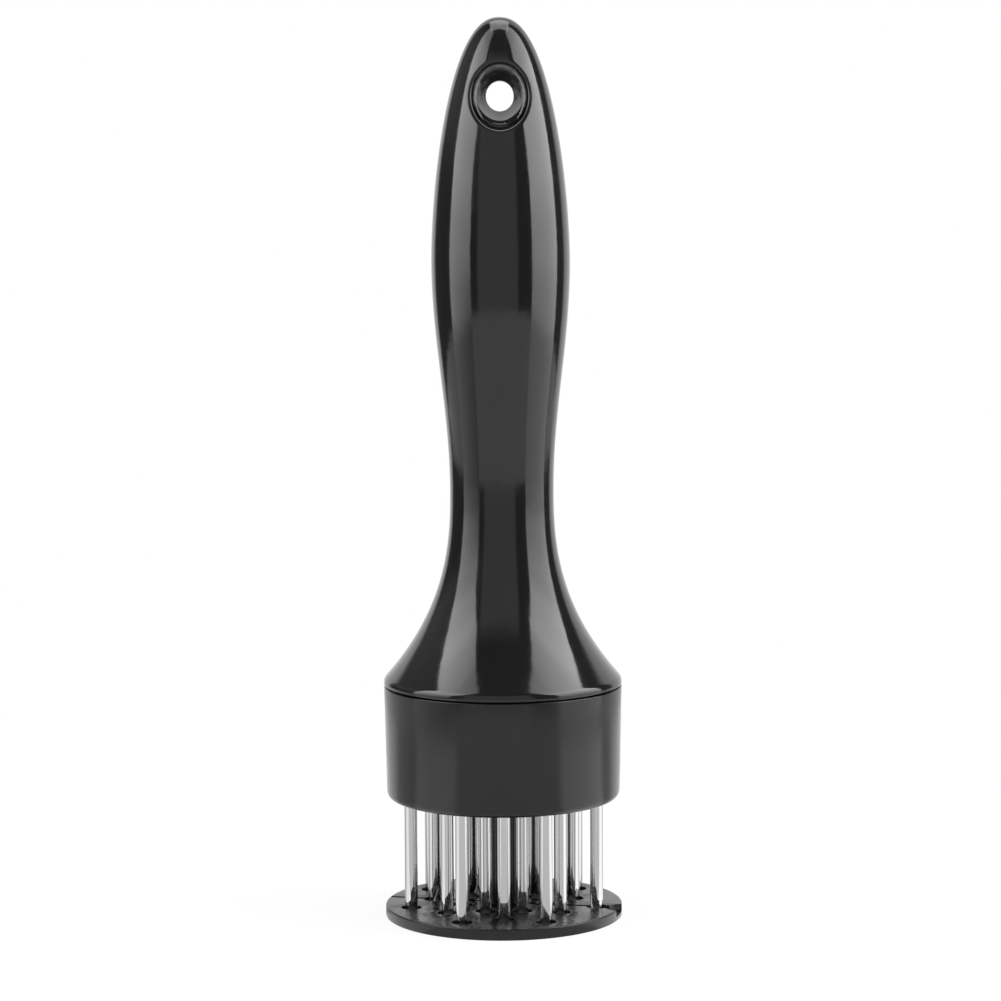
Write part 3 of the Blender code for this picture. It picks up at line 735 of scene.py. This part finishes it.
glow = add_node(tree, "MixShader", {0: glossy.outputs[0], 1: white_glow.outputs[0], 2: painted_reflection_glow.outputs[0]})
both = add_node(tree, "MixShader", {0: share.outputs[0], 1: matt.outputs[0], 2: glow.outputs[0]})
add_node(tree, "OutputMaterial", {"Surface": both.outputs[0]})
floor = piece("paper_floor", shell, paper)

# Studio lights
# Two tall soft boxes stand at the front left and right, and a small one hangs overhead. They give
# the long upright reflections on the handle and the bright cap on its tip.


def soft_box(name, side_angle, distance, width, low, high, levels, inner):
    """An upright glowing sheet that faces the tool and widens upwards on its inner side, left (-1) or right (1).

    Its levels are (height, left, right) strengths, as the tool sees them."""
    shell = bmesh.new()
    edge, wide_edge = inner * width / 2, inner * (width / 2 + 0.045)
    corners = [(-edge, low), (edge, low), (edge, 0.22), (wide_edge, 0.36), (wide_edge, high), (-edge, high)]
    shell.faces.new([shell.verts.new((x, 0.0, z)) for x, z in corners])
    glow = bpy.data.materials.new(name + "_cloth")
    glow.use_nodes = True
    tree = glow.node_tree
    tree.nodes.clear()
    where = add_node(tree, "SeparateXYZ", {"Vector": add_node(tree, "TexCoord").outputs["Object"]})
    strength = None
    for height, left, right in levels:
        spread = add_node(tree, "MapRange", {
            "Value": where.outputs["X"], "From Min": -width / 2, "From Max": width / 2,
            "To Min": left, "To Max": right})
        if strength is None:
            strength, previous = spread, height
            continue
        blend = add_node(tree, "MapRange", {
            "Value": where.outputs["Z"], "From Min": previous, "From Max": height,
            "To Min": 0.0, "To Max": 1.0}, interpolation_type="SMOOTHSTEP")
        strength = add_node(tree, "Mix", {
            "Factor": blend.outputs["Result"], "A": strength.outputs["Result"], "B": spread.outputs["Result"]})
        previous = height
    light = add_node(tree, "Emission", {"Strength": strength.outputs["Result"]})
    dark = add_node(tree, "BsdfTransparent")
    back = add_node(tree, "NewGeometry").outputs["Backfacing"]
    both = add_node(tree, "MixShader", {0: back, 1: light.outputs[0], 2: dark.outputs[0]})
    add_node(tree, "OutputMaterial", {"Surface": both.outputs[0]})
    sheet = piece(name, shell, glow)
    if sheet.data.polygons[0].normal.y > 0:
        sheet.data.flip_normals()
    a = math.radians(side_angle)
    sheet.location = (distance * math.sin(a), -distance * math.cos(a), 0.0)
    sheet.rotation_euler = (0.0, 0.0, a + math.pi)
    sheet.visible_camera = False
    return sheet


left_outer = [(0.004, 1.1), (0.050, 1.1), (0.085, 2.7), (0.16, 3.3), (0.24, 4.8), (0.34, 5.8),
              (0.44, 4.6), (0.56, 3.8), (0.65, 2.8), (1.1, 2.0)]
right_outer = [(0.004, 1.6), (0.050, 1.6), (0.085, 2.9), (0.16, 4.0), (0.24, 5.6), (0.34, 6.2),
               (0.44, 4.8), (0.56, 4.2), (0.65, 3.4), (1.1, 2.4)]
soft_box("left_soft_box", -71.5, 0.33, 0.25, 0.004, 1.1,
         [(h, level * (0.42 if h < 0.15 else 0.72), level) for h, level in left_outer], -1)
soft_box("right_soft_box", 79.5, 0.33, 0.33, 0.004, 1.1,
         [(h, level, level * 0.8) for h, level in right_outer], 1)
overhead = bpy.data.lights.new("overhead_soft_box", "AREA")
overhead.shape = "RECTANGLE"
overhead.size = 0.56
overhead.size_y = 0.50
overhead.energy = 2.4
lamp = bpy.data.objects.new("overhead_soft_box", overhead)
lamp.location = (0.0, 0.13, 0.85)
lamp.visible_camera = False
bpy.context.scene.collection.objects.link(lamp)

# Room
# White behind the tool and plain white to the camera everywhere. In front of the tool the room is
# dim, with a paler patch round the camera, which is what the polished handle shows between the boxes.
world = bpy.data.worlds.new("studio_room")
bpy.context.scene.world = world
world.use_nodes = True
tree = world.node_tree
tree.nodes.clear()
way = add_node(tree, "SeparateXYZ", {"Vector": add_node(tree, "TexCoord").outputs["Generated"]})
flat = add_node(tree, "CombineXYZ", {"X": way.outputs["X"], "Y": way.outputs["Y"]})
flat_length = add_node(tree, "VectorMath", {0: flat.outputs[0]}, operation="LENGTH")
skewed = add_node(tree, "Math", {0: way.outputs["X"], 1: 0.09, 2: way.outputs["Y"]}, operation="MULTIPLY_ADD")
facing = add_node(tree, "Math", {0: skewed.outputs[0], 1: flat_length.outputs["Value"]}, operation="DIVIDE")
behind = add_node(tree, "MapRange", {
    "Value": facing.outputs[0], "From Min": 0.66, "From Max": 0.78}, interpolation_type="SMOOTHSTEP")
patch = add_node(tree, "MapRange", {
    "Value": facing.outputs[0], "From Min": -0.80, "From Max": -0.86}, interpolation_type="SMOOTHSTEP")
low_patch = add_node(tree, "MapRange", {
    "Value": way.outputs["Z"], "From Min": 0.80, "From Max": 0.62}, interpolation_type="SMOOTHSTEP")
patch = add_node(tree, "Math", {0: patch.outputs[0], 1: low_patch.outputs[0]}, operation="MULTIPLY")
leftward = add_node(tree, "MapRange", {"Value": way.outputs["X"], "From Min": -0.50, "From Max": -0.80})
raised = add_node(tree, "MapRange", {"Value": way.outputs["Z"], "From Min": 0.08, "From Max": 0.25})
left_wall = add_node(tree, "Math", {0: leftward.outputs[0], 1: raised.outputs[0]}, operation="MULTIPLY")
level = add_node(tree, "Math", {0: patch.outputs[0], 1: 0.42, 2: 0.07}, operation="MULTIPLY_ADD")
level = add_node(tree, "Math", {0: left_wall.outputs[0], 1: 0.22, 2: level.outputs[0]}, operation="MULTIPLY_ADD")
level = add_node(tree, "Math", {0: behind.outputs[0], 1: 0.93, 2: level.outputs[0]}, operation="MULTIPLY_ADD")
rays = add_node(tree, "LightPath")
seen = add_node(tree, "Math", {0: rays.outputs["Is Camera Ray"], 1: rays.outputs["Is Transmission Ray"]}, operation="MAXIMUM")
plain = add_node(tree, "Background", {"Strength": 0.4})
mirrored = add_node(tree, "Background", {"Strength": level.outputs[0]})
white = add_node(tree, "Background", {"Strength": 1.0})
for background in (plain, mirrored, white):
    background.inputs["Color"].default_value = (1.0, 1.0, 1.0, 1.0)
both = add_node(tree, "MixShader", {0: rays.outputs["Is Glossy Ray"], 1: plain.outputs[0], 2: mirrored.outputs[0]})
both = add_node(tree, "MixShader", {0: seen.outputs[0], 1: both.outputs[0], 2: white.outputs[0]})
add_node(tree, "OutputWorld", {"Surface": both.outputs[0]})
bpy.context.scene.view_settings.view_transform = "Standard"

# Camera
# It stands 0.74 m in front of the tool, level with the handle's palm, and looks slightly down.
camera_data = bpy.data.cameras.new("camera")
camera_data.sensor_width = 36.0
camera_data.lens = 120.02
camera = bpy.data.objects.new("camera", camera_data)
bpy.context.scene.collection.objects.link(camera)
look_down, lean = 0.1094, -0.0054
turned_to = Matrix.Rotation(math.pi / 2 - look_down, 4, "X") @ Matrix.Rotation(lean, 4, "Z")
camera.matrix_world = Matrix.Translation((-0.00031, -0.7389, 0.1748)) @ turned_to
bpy.context.scene.camera = camera
